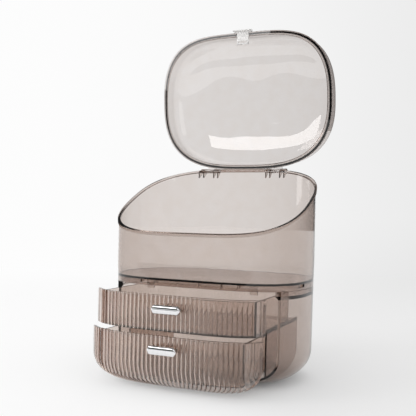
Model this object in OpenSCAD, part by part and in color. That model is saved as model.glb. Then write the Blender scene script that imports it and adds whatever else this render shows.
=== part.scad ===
// Dustproof makeup organizer: a lidded tub standing on a two-drawer case.
// Millimetres. X is across the front, Y runs from the front (negative) to
// the back, Z is up. The origin is the middle of the face it stands on.
// The model is drawn with the lid open on its stop and both drawers partly out.

/* [Case] */
// Overall width of the case and tub
case_w = 270; // [240:1:300]
// Overall depth of the case and tub
case_d = 180; // [165:1:200]
// Height of the seam between drawer case and tub
seam_z = 122; // [120:0.5:123]
// Radius of the bowl-shaped bottom edge
bottom_r = 34; // [28:1:38]
// Wall thickness of the moulded shells
wall = 2.3; // [2:0.1:2.8]
// Narrowing towards the bottom, as a share of the half width over 200 mm
draft = 0.015; // [0:0.001:0.02]
// Depth of the part of the plan that belongs to the drawer fronts
front_part = 26.5; // [24:0.5:28]

/* [Tub and lid] */
// Height of the tub's floor
tub_floor_z = 131.5; // [131:0.5:136]
// Height of the tub's rim at the front
front_rim_z = 191; // [175:1:205]
// Rise of the rim towards the back, per unit of depth
rim_slope = 0.52; // [0.45:0.01:0.56]
// How far the lid swings open from closed
lid_open = 112; // [100:1:118]
// Height of the lid's dome over its rim
dome_h = 55.5; // [50:0.5:58]

/* [Drawers] */
// How far the upper drawer stands out of the case
upper_out = 49; // [0:1:100]
// How far the lower drawer stands out of the case
lower_out = 57.5; // [0:0.5:100]
// Number of reeds on each half of a drawer front
reeds_half = 18; // [14:1:22]
// Depth of a reed
reed_d = 1.3; // [0.5:0.1:1.4]

/* [Handles and hinges] */
// Length of a drawer handle
handle_l = 39; // [34:1:46]
// Height of a drawer handle
handle_h = 11; // [9:0.5:13]
// Diameter of the hinge pins
pin_d = 3; // [2.5:0.1:3.4]

/* [Hidden] */

n_seg = 72;                       // points round a shell
nx_f = 4.0; ny_f = 2.5;           // exponents of the plan curve, front half
nx_b = 3.0; ny_b = 2.6;           // exponents of the plan curve, back half
foot_h = 3;                       // feet lift the case off the table
bottom_z = foot_h;
cut_y = -case_d / 2 + front_part; // plane behind which the case's shell begins
rim_tilt = atan(rim_slope);
mid_z = front_rim_z + rim_slope * case_d / 2;
hinge_y = case_d / 2 + 5.8;
hinge_z = front_rim_z + rim_slope * case_d - 2.5;
flare = 1.5;                      // the rim bead stands proud of the wall
collar_in = 2.7;                  // the case's collar stands inside the tub's skirt
tub_under = tub_floor_z - 2;      // underside of the tub's floor
collar_top = tub_under - 0.3;
rib_x = [-69, -46, -15.3, 15.3, 46, 69];
shelf_top = 71;
guide_x = 99.5;                   // outer face of the guide walls
rail_top = 16.2;

// Drawer sizes, in the closed position
up_hw = 105.5; up_z0 = 73.2; up_z1 = 115.3; up_back = 70;
up_front_z0 = 74.4; up_front_z1 = 117.5;
lo_hw = 96.5; lo_z0 = 16.6; lo_z1 = 67.6; lo_back = 60;
lo_front_z1 = 70;
front_wall = 2.8;                 // thickness of a drawer front, behind the reeds
upper_handle_z = 101; lower_handle_z = 54;
post_x = 12;

smoke = [0.45, 0.39, 0.36, 0.55];
smoke_dark = [0.36, 0.31, 0.28, 0.6];

// ---------- plan curve of the case ----------
function sg(v) = v < 0 ? -1 : 1;
function draft_k(z) = 1 - draft * max(0, front_rim_z - z) / 200;
function half_w(z, c) = case_w / 2 * draft_k(z) - c;
function half_d(z, c) = case_d / 2 * draft_k(z) - c;
function plan_xy(t, a, b) =
  let (s = sin(t), c = cos(t), f = s < 0)
  [a * sg(c) * pow(abs(c), 2 / (f ? nx_f : nx_b)), b * sg(s) * pow(abs(s), 2 / (f ? ny_f : ny_b))];
function front_y(x, a, b) = -b * pow(max(0, 1 - pow(min(1, abs(x) / a), nx_f)), 1 / ny_f);
function back_y(x, c) = (case_d / 2 - c) * pow(1 - pow(abs(x) / (case_w / 2 - c), nx_b), 1 / ny_b);
function rim_z(y) = front_rim_z + rim_slope * (y + case_d / 2);
// how far the bowl-shaped bottom pulls the outline in at height z
function bowl(z) = z >= bottom_z + bottom_r ? 0
  : bottom_r - sqrt(max(0, pow(bottom_r, 2) - pow(bottom_r - (z - bottom_z), 2)));

// ---------- rings for lofted shells ----------
function ring(z, c) = [for (i = [0 : n_seg - 1])
  let (p = plan_xy(360 * i / n_seg, half_w(z, c), half_d(z, c))) [p.x, p.y, z]];
// a ring between height z0 (f = 0) and the slanted rim (f = 1), dz below it
function slant_ring(c, z0, f, dz) = [for (i = [0 : n_seg - 1])
  let (p = plan_xy(360 * i / n_seg, case_w / 2 - c, case_d / 2 - c))
  [p.x, p.y, z0 + f * (rim_z(p.y) - z0) - dz]];
// bowl-bottom rings: angle 0 is the flat bottom, 90 the upright wall
function bowl_ring(a, c) = let (z = bottom_z + bottom_r - (bottom_r - c) * cos(a))
  ring(z, bottom_r - (bottom_r - c) * sin(a));

// closed skin over rings that all turn the same way; the first and last are capped
module loft(r) {
  n = len(r[0]);
  m = len(r);
  polyhedron(
    points = [for (k = r) for (p = k) p],
    faces = concat(
      [[for (i = [0 : n - 1]) i]],
      [for (j = [0 : m - 2]) for (i = [0 : n - 1]) [j * n + i, (j + 1) * n + i, (j + 1) * n + (i + 1) % n]],
      [for (j = [0 : m - 2]) for (i = [0 : n - 1]) [j * n + i, (j + 1) * n + (i + 1) % n, j * n + (i + 1) % n]],
      [[for (i = [n - 1 : -1 : 0]) (m - 1) * n + i]]),
    convexity = 10);
}

// ---------- drawer case ----------
// The bowl-shaped shell, its front cut away for the drawers, with a collar
// that the tub's skirt slides over and two runners for the lower drawer.
module base_case() {
  color(smoke) {
    difference() {
      loft(concat(
        [for (a = [0, 25, 45, 65, 90]) bowl_ring(a, 0)],
        [ring(seam_z, 0), ring(seam_z, collar_in), ring(collar_top, collar_in),
         ring(collar_top, collar_in + 2.2), ring(seam_z - 6, collar_in + 2.2), ring(seam_z - 10, wall)],
        [for (a = [90, 65, 45, 25, 0]) bowl_ring(a, wall)]));
      translate([-case_w, -case_d, -1]) cube([2 * case_w, case_d + cut_y, seam_z + 1]);
    }
    for (s = [-1, 1])
      translate([s * 60 - 1.5, cut_y + 2, bottom_z + wall - 0.1])
        cube([3, 122, rail_top - bottom_z - wall + 0.1]);
  }
}

// Guide walls for the lower drawer under the shelf that carries the upper one.
module drawer_frame() {
  y0 = cut_y + 0.5;
  len_y = 67 - y0;
  color(smoke_dark) {
    intersection() {
      union() for (s = [-1, 1])
        translate([s > 0 ? guide_x - 2.2 : -guide_x, y0, bottom_z]) cube([2.2, len_y, shelf_top + 1.8 - bottom_z]);
      loft(concat([for (a = [0, 25, 45, 65, 90]) bowl_ring(a, wall + 0.08)], [ring(seam_z - 12, wall + 0.08)]));
    }
    translate([-guide_x + 1, y0, shelf_top - 2.2]) cube([2 * guide_x - 2, len_y, 2.2]);
    // stops that catch the lower tray's back wall
    for (s = [-1, 1])
      translate([s * 75 - 5, -61, shelf_top - 4.6]) cube([10, 3, 3]);
  }
}

// ---------- feet ----------
module foot(x, y) {
  color([0.2, 0.18, 0.17])
    translate([x, y, 0]) {
      cylinder(d = 15, h = foot_h - 0.6, $fn = 48);
      cylinder(d = 12, h = foot_h, $fn = 48);
    }
}
module foot_front_left() { foot(-70, -40); }
module foot_front_right() { foot(70, -40); }
module foot_rear_left() { foot(-70, 38); }
module foot_rear_right() { foot(70, 38); }

// ---------- tub ----------
// one hinge eye, an x range of the hinge line, with a gusset at each end; its
// root stays under the rim, where the closed lid's edge comes down
function root_z(y) = min(hinge_z + 0.6, rim_z(y) - 0.4);
module hinge_eye(x0, x1) {
  translate([x0, hinge_y, hinge_z]) rotate([0, 90, 0]) cylinder(d = 6.8, h = x1 - x0, $fn = 48);
  for (x = [x0, x1 - 1.5])
    translate([x, 0, 0]) rotate([90, 0, 90]) linear_extrude(1.5)
      polygon([[back_y(x + 0.75, 1.3), hinge_z - 11], [back_y(x + 0.75, -0.6), hinge_z - 11],
        [hinge_y + 1.6, hinge_z - 3], [hinge_y + 3.3, hinge_z], [hinge_y, hinge_z + 3.3],
        [back_y(x + 0.75, 1.3), root_z(back_y(x + 0.75, 1.3))]]);
  translate([x0, 0, 0]) rotate([90, 0, 90]) linear_extrude(x1 - x0)
    polygon([[back_y((x0 + x1) / 2, 1.3), hinge_z - 1.6], [hinge_y, hinge_z - 1.6],
      [hinge_y, hinge_z + 1.6], [back_y((x0 + x1) / 2, 1.3), root_z(back_y((x0 + x1) / 2, 1.3))]]);
}

module organizer_tub() {
  in_c = wall;
  color(smoke)
    difference() {
      union() {
        loft([
          ring(tub_under, 2.5), ring(seam_z, 2.3), ring(seam_z, 0), ring(tub_floor_z, 0),
          slant_ring(0, tub_floor_z, 0.5, 0), slant_ring(0, tub_floor_z, 1, 6),
          slant_ring(-flare * 0.8, tub_floor_z, 1, 4.2), slant_ring(-flare, tub_floor_z, 1, 3.2),
          slant_ring(-flare, tub_floor_z, 1, 0), slant_ring(in_c - 0.4, tub_floor_z, 1, 0),
          slant_ring(in_c, tub_floor_z, 1, 2), slant_ring(in_c, tub_floor_z, 0.5, 0),
          ring(tub_floor_z + 1, in_c), ring(tub_floor_z, in_c + 1)]);
        for (x = [[-69.5, -61], [-46.5, -38.5], [38.5, 46.5], [61, 69.5]])
          hinge_eye(x[0], x[1]);
        // stops that catch the upper tray's back wall
        for (s = [-1, 1])
          translate([s * 75 - 5, -48, up_z1 - 1.5]) cube([10, 2, tub_under - up_z1 + 1.7]);
        // ribs under the floor that sit inside the case's collar
        for (x = rib_x) {
          translate([x - 0.6, front_y(x, half_w(tub_under, 5.4), half_d(tub_under, 5.4)), tub_under - 4]) cube([1.2, 4, 4.2]);
          translate([x - 0.6, back_y(x, 5.6) - 4, tub_under - 4]) cube([1.2, 4, 4.2]);
        }
      }
      // pin bore through both hinge stations
      for (s = [-1, 1])
        translate([s > 0 ? 36 : -72, hinge_y, hinge_z]) rotate([0, 90, 0]) cylinder(d = pin_d + 0.02, h = 36, $fn = 48);
      // snap windows in the skirt
      for (s = [-1, 1]) {
        translate([s * 57.4 - 10.6, -case_d / 2 - 5, seam_z + 3.2]) cube([21.2, 7.5 + 5, 4]);
        translate([s * 57.4 - 10.6, case_d / 2 - 12, seam_z + 3.2]) cube([21.2, 16, 4]);
        translate([s * (case_w / 2) - 6, -34, seam_z + 3.2]) cube([12, 14, 4]);
      }
    }
}

// ---------- hinge pins ----------
module hinge_pin(s) {
  color([0.75, 0.75, 0.77])
    translate([s > 0 ? 38.2 : -69.8, hinge_y, hinge_z]) rotate([0, 90, 0])
      cylinder(d = pin_d, h = 31.6, $fn = 48);
}
module hinge_pin_left() { hinge_pin(-1); }
module hinge_pin_right() { hinge_pin(1); }

// ---------- lid ----------
// lid frame: x across, y up the slanted rim, z square to the rim plane
hinge_v = hinge_y * cos(rim_tilt) + (hinge_z - mid_z) * sin(rim_tilt);
hinge_h = -hinge_y * sin(rim_tilt) + (hinge_z - mid_z) * cos(rim_tilt);
lid_b = case_d / 2 / cos(rim_tilt);
dome_c = 80;                      // pull-in at which the dome is highest
dome_w = 25.5;                    // height of its upright side wall
function lid_ring(c, h) = [for (i = [0 : n_seg - 1])
  let (p = plan_xy(360 * i / n_seg, case_w / 2 - c, lid_b - c)) [p.x, p.y, h]];
function dome(c) = dome_w + (dome_h - dome_w) * pow(max(0, 1 - pow(max(0, 1 - c / dome_c), 2.4)), 1 / 2.4);
dome_steps = [0.02, 0.25, 0.9, 2.2, 4.5, 8, 13, 20, 30, 44, 62];
// the inner skin, one wall below the outer one and square to it
lid_t = wall - 0.2;
function dome_in(c) = let (s = (dome(c + 0.01) - dome(c - 0.01)) / 0.02, n = norm([1, s])) [c + lid_t * s / n, dome(c) - lid_t / n];

module lid_pose() {
  translate([0, hinge_y, hinge_z]) rotate([-lid_open, 0, 0]) translate([0, -hinge_y, -hinge_z])
    translate([0, 0, mid_z]) rotate([rim_tilt, 0, 0]) children();
}

module lid_shell() {
  color(smoke)
    lid_pose()
      difference() {
        union() {
          loft(concat(
            [lid_ring(80, dome(80) - lid_t)],
            [for (k = [10 : -1 : 1]) let (q = dome_in(dome_steps[k])) lid_ring(q.x, q.y)],
            [lid_ring(2.2, 5), lid_ring(2.3, 3), lid_ring(5.0, 1.9), lid_ring(5.2, -1.1), lid_ring(3.9, -1.1), lid_ring(3.7, 0.4),
             lid_ring(-flare, 0.4), lid_ring(-flare, 2.9), lid_ring(-0.1, 4.2)],
            [for (k = [0 : 10]) lid_ring(dome_steps[k], dome(dome_steps[k]))],
            [lid_ring(80, dome(80))]));
          for (s = [-1, 1])
            translate([s > 0 ? 47.3 : -60.2, 0, 0]) {
              translate([0, hinge_v, hinge_h]) rotate([0, 90, 0]) cylinder(d = 6.4, h = 12.9, $fn = 48);
              rotate([90, 0, 90]) linear_extrude(12.9)
                polygon([[hinge_v - 1.9, hinge_h], [hinge_v - 1.9, 0.4], [lid_b - 5.2, 0.4], [lid_b - 5.2, 2.6],
                  [hinge_v + 0.6, 2.6], [hinge_v + 3.2, -0.4], [hinge_v + 3.2, hinge_h]]);
            }
        }
        for (s = [-1, 1])
          translate([s > 0 ? 46 : -62, hinge_v, hinge_h]) rotate([0, 90, 0]) cylinder(d = pin_d + 0.12, h = 16, $fn = 48);
        // slot for the latch's tongue
        translate([-9.6, -lid_b - 5, -2]) cube([19.2, 11.4, 4.2]);
      }
}

// The latch: a finger tab with a lip outside the rim and a tongue that goes
// through the rim's slot and ends in a turned-down bar.
module lid_latch() {
  color([0.8, 0.79, 0.78, 0.8])
    lid_pose() {
      translate([-14.5, -lid_b - 5.1, 0.4]) cube([29, 3.3, 4]);
      translate([-14.5, -lid_b - 5.1, -3.6]) cube([29, 1.6, 4.4]);
      difference() {
        translate([-9.3, -lid_b - 4, 0.5]) cube([18.6, 20, 1.5]);
        translate([-7.4, -lid_b + 10.6, 0]) cube([14.8, 3.6, 4]);
      }
      translate([-9.3, -lid_b + 14.2, -1.6]) cube([18.6, 1.8, 3.6]);
    }
}

// ---------- drawer parts ----------
// ring of a tray: the front follows the case's front curve, pulled in by cf,
// the sides and back are straight, pulled in by cs
function tray_ring(z, hw, yb, r, cf, cs) =
  let (a = half_w(z, cf), b = half_d(z, cf), w = hw - cs, y1 = yb - cs, q = max(r - cs, 0.5), nf = 26)
  concat(
    [for (i = [0 : nf]) let (x = -w + 2 * w * i / nf) [x, front_y(x, a, b), z]],
    [for (i = [0 : 5]) [w - q + q * cos(18 * i), y1 - q + q * sin(18 * i), z]],
    [for (i = [0 : 5]) [-w + q + q * cos(90 + 18 * i), y1 - q + q * sin(90 + 18 * i), z]]);

// reeds: x of every quarter reed, evenly spaced along the front curve
reed_end = 104;
ref_a = half_w(95, 1); ref_b = half_d(95, 1);
fine = [for (i = [0 : 120]) let (x = reed_end * i / 120) [x, front_y(x, ref_a, ref_b)]];
arc = [for (i = 0, s = 0; i <= 120; s = s + (i < 120 ? norm(fine[i + 1] - fine[i]) : 0), i = i + 1) [s, fine[i].x]];
reed_q = 4 * reeds_half;
half_x = [for (i = [0 : reed_q]) lookup(arc[120][0] * i / reed_q, arc)];
reed_x = concat([for (i = [reed_q : -1 : 1]) -half_x[i]], half_x);
reed_h = [for (i = [-reed_q : reed_q]) let (k = (abs(i)) % 4) k == 0 ? 0 : k == 2 ? 1 : 0.72];
// half width of the front piece at the cut plane
function end_x(a, b) = a * pow(max(0.0001, 1 - pow(-(cut_y - 0.6) / b, ny_f)), 1 / nx_f);

module handle_holes(z, shift) {
  for (s = [-1, 1])
    translate([s * post_x, -case_d / 2 - shift - 12, z]) rotate([-90, 0, 0]) cylinder(d = 3.2, h = 24, $fn = 32);
}

// bar handle with a rounded face and pointed ends, on two posts
module handle(z, shift) {
  yb = -half_d(z, 0) - shift;
  color([0.85, 0.85, 0.87])
    difference() {
      union() {
        translate([0, yb - 5.8, z])
          hull() {
            translate([-handle_l / 2 + 3.2, 0, 0]) rotate([0, 90, 0]) scale([1, 0.48, 1]) cylinder(d = handle_h, h = handle_l - 6.4, $fn = 32);
            translate([-handle_l / 2, 0.6, 0]) rotate([0, 90, 0]) cylinder(d = 2.6, h = handle_l, $fn = 16);
          }
        for (s = [-1, 1])
          translate([s * post_x, yb - 5, z]) rotate([-90, 0, 0]) cylinder(d = 5.4, h = 4.9, $fn = 32);
      }
      for (s = [-1, 1])
        translate([s * post_x, yb - 5, z]) rotate([-90, 0, 0]) cylinder(d = 2.62, h = 8, $fn = 32);
    }
}
module screws(z, shift) {
  yb = -half_d(z, 0) - shift;
  color([0.7, 0.7, 0.72])
    for (s = [-1, 1]) translate([s * post_x, yb, z]) rotate([-90, 0, 0]) {
      translate([0, 0, -4.8]) cylinder(d = 2.6, h = front_wall + 7.5, $fn = 32);
      translate([0, 0, front_wall + 2.45]) cylinder(d = 5.4, h = 1.7, $fn = 32);
    }
}

// ---------- upper drawer ----------
module upper_drawer_tray() {
  z0 = up_z0;
  color(smoke_dark)
    translate([0, -upper_out, 0])
      difference() {
        union() {
          loft([tray_ring(z0, up_hw, up_back, 20, front_wall + 1.3, 1), tray_ring(z0 + 1, up_hw, up_back, 20, front_wall + 0.3, 0),
            tray_ring(up_z1, up_hw, up_back, 20, front_wall + 0.3, 0), tray_ring(up_z1, up_hw, up_back, 20, front_wall + 2.3, 2),
            tray_ring(z0 + 4, up_hw, up_back, 20, front_wall + 2.3, 2), tray_ring(z0 + 2, up_hw, up_back, 20, front_wall + 3.8, 3.5)]);
          for (s = [-1, 1])
            translate([s > 0 ? guide_x - 4.4 : -guide_x + 2.6, -58, shelf_top + 0.3]) cube([1.8, 112, up_z0 - shelf_top]);
        }
        handle_holes(upper_handle_z, 0);
      }
}
module upper_drawer_front() {
  a = half_w(96, 0); b = half_d(96, 0);
  ex = end_x(a - 0.5, b - 0.5);
  ix = end_x(a - 0.5 - front_wall, b - 0.5 - front_wall);
  color(smoke)
    translate([0, -upper_out, 0])
      difference() {
        translate([0, 0, up_front_z0]) linear_extrude(up_front_z1 - up_front_z0)
          polygon(concat(
            [[-ex, cut_y - 0.6]],
            [for (i = [2 : -1 : 1]) let (x = reed_end + (ex - reed_end) * i / 3) [-x, front_y(x, a - 0.5, b - 0.5)]],
            [for (i = [0 : 2 * reed_q]) let (c = reed_d * (1 - reed_h[i])) [reed_x[i], front_y(reed_x[i], a - c, b - c)]],
            [for (i = [1 : 2]) let (x = reed_end + (ex - reed_end) * i / 3) [x, front_y(x, a - 0.5, b - 0.5)]],
            [[ex, cut_y - 0.6], [ix, cut_y - 0.6]],
            [for (i = [23 : -1 : -23]) let (x = ix * i / 24) [x, front_y(x, a - front_wall, b - front_wall)]],
            [[-ix, cut_y - 0.6]]));
        handle_holes(upper_handle_z, 0);
      }
}
module upper_drawer_handle() { handle(upper_handle_z, upper_out); }
module upper_handle_screws() { screws(upper_handle_z, upper_out); }

// ---------- lower drawer ----------
module lower_drawer_tray() {
  // follows the inner face of the drawer front, 0.3 mm behind it where upright and 0.5 mm in the bend
  r_in = bottom_r - front_wall;
  function cf(z) = front_wall + 0.3 + (z < bottom_z + bottom_r
    ? 0.2 + r_in - sqrt(r_in * r_in - pow(bottom_z + bottom_r - z, 2)) : 0);
  function sr(z, r) = z >= lo_z0 + r ? 0 : r - sqrt(max(0, r * r - pow(lo_z0 + r - z, 2)));
  outer_z = [lo_z0, lo_z0 + 0.7, lo_z0 + 2.4, lo_z0 + 5, lo_z0 + 8, lo_z0 + 13, bottom_z + bottom_r];
  color(smoke_dark)
    translate([0, -lower_out, 0])
      difference() {
        loft(concat(
          [for (z = outer_z) tray_ring(z, lo_hw, lo_back, 14, cf(z), sr(z, 8))],
          [tray_ring(lo_z1, lo_hw, lo_back, 14, cf(lo_z1), 0), tray_ring(lo_z1, lo_hw, lo_back, 14, cf(lo_z1) + 2, 2)],
          [for (k = [6 : -1 : 2]) tray_ring(outer_z[k] + (k == 2 ? 1.2 : 0.5), lo_hw, lo_back, 14, cf(outer_z[k]) + 2, sr(outer_z[k], 8) + 2)],
          [tray_ring(lo_z0 + 2, lo_hw, lo_back, 14, cf(lo_z0) + 2.5, 8)]));
        handle_holes(lower_handle_z, 0);
      }
}

// a ring of the lower front: the reeded outline pulled in by c at height z,
// closed by a straight line behind the cut plane
close_y = cut_y + 12;
function front_ring(z, c, deep) =
  let (a = half_w(z, c), b = half_d(z, c), xm = a * pow(max(0.0001, 1 - pow(-close_y / b, ny_f)), 1 / nx_f), g = min(1, xm / 112))
  concat(
    [[-xm, close_y, z]],
    [for (i = [2 : -1 : 1]) let (x = g * reed_end + (xm - g * reed_end) * i / 3) [-x, front_y(x, a, b), z]],
    [for (i = [0 : 2 * reed_q]) let (q = deep * (1 - reed_h[i]), x = reed_x[i] * g) [x, front_y(x, a - q, b - q), z]],
    [for (i = [1 : 2]) let (x = g * reed_end + (xm - g * reed_end) * i / 3) [x, front_y(x, a, b), z]],
    [[xm, close_y, z]]);
function plain_ring(z, c) =
  let (a = half_w(z, c), b = half_d(z, c), xm = a * pow(max(0.0001, 1 - pow(-close_y / b, ny_f)), 1 / nx_f))
  concat([for (i = [-24 : 24]) let (x = xm * i / 24) [x, abs(i) == 24 ? close_y : front_y(x, a, b), z]]);

module lower_drawer_front() {
  r_in = bottom_r - front_wall;
  reach = case_d / 2 * draft_k(4) + cut_y + 0.6;       // pull-in at which the front ends
  a_out = asin(max(0, 1 - (reach + 1.2) / bottom_r));
  a_in = asin(max(0, 1 - (reach + 1.2 - front_wall) / r_in));
  color(smoke)
    translate([0, -lower_out, 0])
      difference() {
        loft(concat(
          [for (k = [0 : 6]) let (t = a_out + (90 - a_out) * k / 6)
            front_ring(bottom_z + bottom_r * (1 - cos(t)), bottom_r * (1 - sin(t)), reed_d)],
          [front_ring(lo_front_z1 + 3, 0, reed_d)]));
        loft(concat(
          [for (k = [0 : 6]) let (t = a_in + (90 - a_in) * k / 6)
            plain_ring(bottom_z + bottom_r - r_in * cos(t), front_wall + r_in * (1 - sin(t)))],
          [plain_ring(lo_front_z1 + 6, front_wall)]));
        translate([-case_w, cut_y - 0.6, -1]) cube([2 * case_w, 40, 100]);
        translate([-case_w, -case_d, lo_front_z1]) cube([2 * case_w, case_d, 20]);
        handle_holes(lower_handle_z, 0);
      }
}
module lower_drawer_handle() { handle(lower_handle_z, lower_out); }
module lower_handle_screws() { screws(lower_handle_z, lower_out); }

base_case();
drawer_frame();
organizer_tub();
hinge_pin_left();
hinge_pin_right();
foot_front_left();
foot_front_right();
foot_rear_left();
foot_rear_right();
lid_shell();
lid_latch();
upper_drawer_tray();
upper_drawer_front();
upper_drawer_handle();
upper_handle_screws();
lower_drawer_tray();
lower_drawer_front();
lower_drawer_handle();
lower_handle_screws();
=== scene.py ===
import math

import bmesh
import bpy
import numpy as np
from mathutils import Matrix, Vector


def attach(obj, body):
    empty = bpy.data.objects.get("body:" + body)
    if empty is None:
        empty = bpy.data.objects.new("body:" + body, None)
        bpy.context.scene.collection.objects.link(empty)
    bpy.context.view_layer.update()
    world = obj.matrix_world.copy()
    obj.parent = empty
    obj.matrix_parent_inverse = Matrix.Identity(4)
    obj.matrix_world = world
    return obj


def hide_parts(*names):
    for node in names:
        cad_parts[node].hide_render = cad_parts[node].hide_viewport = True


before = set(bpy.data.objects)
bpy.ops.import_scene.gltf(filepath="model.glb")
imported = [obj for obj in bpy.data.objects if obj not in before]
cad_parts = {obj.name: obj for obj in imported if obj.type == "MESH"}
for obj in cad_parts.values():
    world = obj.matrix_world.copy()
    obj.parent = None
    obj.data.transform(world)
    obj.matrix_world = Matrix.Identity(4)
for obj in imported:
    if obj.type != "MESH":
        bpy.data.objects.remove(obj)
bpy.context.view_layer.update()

MM = 0.001

# ---------------------------------------------------------------- dimensions
# The same numbers as the CAD source, in millimetres.
W, D = 270.0, 180.0
SEAM, BR, WALL, DRAFT = 122.0, 34.0, 2.3, 0.015
CUT = -D / 2 + 26.5
FLOOR, RIM, SLOPE = 131.5, 191.0, 0.52
OPEN, DOME, DOME_W, DOME_C = 112.0, 55.5, 25.5, 80.0
UP_OUT, LO_OUT = 49.0, 57.5
BOT = 3.0
FLARE = 1.5
HINGE = (D / 2 + 5.8, RIM + SLOPE * D - 2.5)
TILT = math.atan(SLOPE)
MID = RIM + SLOPE * D / 2
LB = D / 2 / math.cos(TILT)
SHELF, GUIDE = 71.0, 99.5
UNDER = FLOOR - 2.0
CTOP, CIN = UNDER - 0.3, 2.7
NXF, NYF, NXB, NYB = 4.0, 2.5, 3.0, 2.6
POST = 12.0


def kz(z):
    return 1 - DRAFT * max(0.0, RIM - z) / 200


def hw(z, c):
    return W / 2 * kz(z) - c


def hd(z, c):
    return D / 2 * kz(z) - c


def front_y(x, a, b):
    return -b * max(0.0, 1 - min(1.0, abs(x) / a) ** NXF) ** (1 / NYF)


def back_y(x, c=0.0):
    return (D / 2 - c) * (1 - (abs(x) / (W / 2 - c)) ** NXB) ** (1 / NYB)


def rim_z(y):
    return RIM + SLOPE * (y + D / 2)


def bowl(z):
    if z >= BOT + BR:
        return 0.0
    return BR - math.sqrt(max(0.0, BR * BR - (BR - (z - BOT)) ** 2))


def _even(n):
    """Curve parameters that space n points evenly round the plan curve."""
    t = np.linspace(0, 2 * np.pi, 200001)
    c, s = np.cos(t), np.sin(t)
    f = s < 0
    x = W / 2 * np.sign(c) * np.abs(c) ** (2 / np.where(f, NXF, NXB))
    y = D / 2 * np.sign(s) * np.abs(s) ** (2 / np.where(f, NYF, NYB))
    d = np.concatenate([[0], np.cumsum(np.hypot(np.diff(x), np.diff(y)))])
    return np.interp(np.arange(n) * d[-1] / n, d, t)


N = 288
T = _even(N)


def plan(a, b):
    out = []
    for t in T:
        c, s = math.cos(t), math.sin(t)
        nx, ny = (NXF, NYF) if s < 0 else (NXB, NYB)
        out.append((math.copysign(abs(c) ** (2 / nx), c) * a, math.copysign(abs(s) ** (2 / ny), s) * b))
    return out


def ring(z, c):
    return [(x, y, z) for x, y in plan(hw(z, c), hd(z, c))]


def slant(c, z0, f, dz):
    return [(x, y, z0 + f * (rim_z(y) - z0) - dz) for x, y in plan(W / 2 - c, D / 2 - c)]


def bowl_ring(deg, c):
    a = math.radians(deg)
    return ring(BOT + BR - (BR - c) * math.cos(a), BR - (BR - c) * math.sin(a))


# ---------------------------------------------------------------- mesh tools
def make(name, verts, faces, mat=None, sharp=32.0, matrix=None):
    me = bpy.data.meshes.new(name)
    me.from_pydata([(x * MM, y * MM, z * MM) for x, y, z in verts], [], faces)
    me.validate()
    ob = bpy.data.objects.new(name, me)
    bpy.context.scene.collection.objects.link(ob)
    if matrix is not None:
        me.transform(matrix)
    finish_mesh(ob, mat, sharp)
    return ob


def finish_mesh(ob, mat=None, sharp=32.0):
    me = ob.data
    me.polygons.foreach_set("use_smooth", [True] * len(me.polygons))
    me.set_sharp_from_angle(angle=math.radians(sharp))
    if mat is not None:
        me.materials.clear()
        me.materials.append(mat)
    me.update()


def loft(rings):
    n, m = len(rings[0]), len(rings)
    verts = [p for r in rings for p in r]
    faces = [tuple(reversed(range(n)))]
    for j in range(m - 1):
        for i in range(n):
            k = (i + 1) % n
            faces.append((j * n + i, j * n + k, (j + 1) * n + k, (j + 1) * n + i))
    faces.append(tuple((m - 1) * n + i for i in range(n)))
    return verts, faces


def prism(poly, lo, hi, axis="x"):
    """Closed prism over a polygon; axis x takes (y, z) points, z takes (x, y) points, y takes (x, z) points."""
    def pt(p, t):
        return {"x": (t, p[0], p[1]), "z": (p[0], p[1], t), "y": (p[0], t, p[1])}[axis]
    return loft([[pt(p, lo) for p in poly], [pt(p, hi) for p in poly]])


def brick(x0, x1, y0, y1, z0, z1):
    return prism([(x0, y0), (x1, y0), (x1, y1), (x0, y1)], z0, z1, "z")


def tube_x(y, z, r, x0, x1, n=48, edge=0.35):
    """Round bar along X with a small edge rounding."""
    st = [(x0, r - edge), (x0 + edge * 0.3, r - edge * 0.3), (x0 + edge, r), (x1 - edge, r), (x1 - edge * 0.3, r - edge * 0.3), (x1, r - edge)]
    return loft([[(x, y + q * math.cos(2 * math.pi * i / n), z + q * math.sin(2 * math.pi * i / n)) for i in range(n)] for x, q in st])


def fix_normals(ob):
    bm = bmesh.new()
    bm.from_mesh(ob.data)
    bmesh.ops.recalc_face_normals(bm, faces=bm.faces)
    bm.to_mesh(ob.data)
    bm.free()


def apply_mods(ob):
    dg = bpy.context.evaluated_depsgraph_get()
    dg.update()
    me = bpy.data.meshes.new_from_object(ob.evaluated_get(dg))
    ob.modifiers.clear()
    old = ob.data
    ob.data = me
    me.name = ob.name
    bpy.data.meshes.remove(old)


def boolean(ob, other, op):
    fix_normals(other)
    m = ob.modifiers.new("cut", "BOOLEAN")
    m.operation = op
    m.object = other
    m.solver = "EXACT"
    apply_mods(ob)
    me = other.data
    bpy.data.objects.remove(other)
    bpy.data.meshes.remove(me)
    return ob


def joined(name, parts, sharp=32.0, mat=None):
    """One object from several (verts, faces)."""
    verts, faces = [], []
    for v, f in parts:
        k = len(verts)
        verts += v
        faces += [tuple(i + k for i in q) for q in f]
    return make(name, verts, faces, mat, sharp)


def clean(ob, mat, sharp=32.0, bevel=0.0):
    bm = bmesh.new()
    bm.from_mesh(ob.data)
    bmesh.ops.remove_doubles(bm, verts=bm.verts, dist=1e-6)
    bmesh.ops.dissolve_degenerate(bm, edges=bm.edges, dist=1e-6)
    bmesh.ops.recalc_face_normals(bm, faces=bm.faces)
    bm.to_mesh(ob.data)
    bm.free()
    if bevel:
        m = ob.modifiers.new("bevel", "BEVEL")
        m.width = bevel * MM
        m.segments = 2
        m.limit_method = "ANGLE"
        m.angle_limit = math.radians(55)
        m.use_clamp_overlap = True
        apply_mods(ob)
    finish_mesh(ob, mat, sharp)
    # the broad faces keep their own direction next to the small edge roundings
    m = ob.modifiers.new("flat", "WEIGHTED_NORMAL")
    m.mode = "FACE_AREA"
    m.weight = 85
    m.keep_sharp = True
    apply_mods(ob)
    return ob


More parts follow.
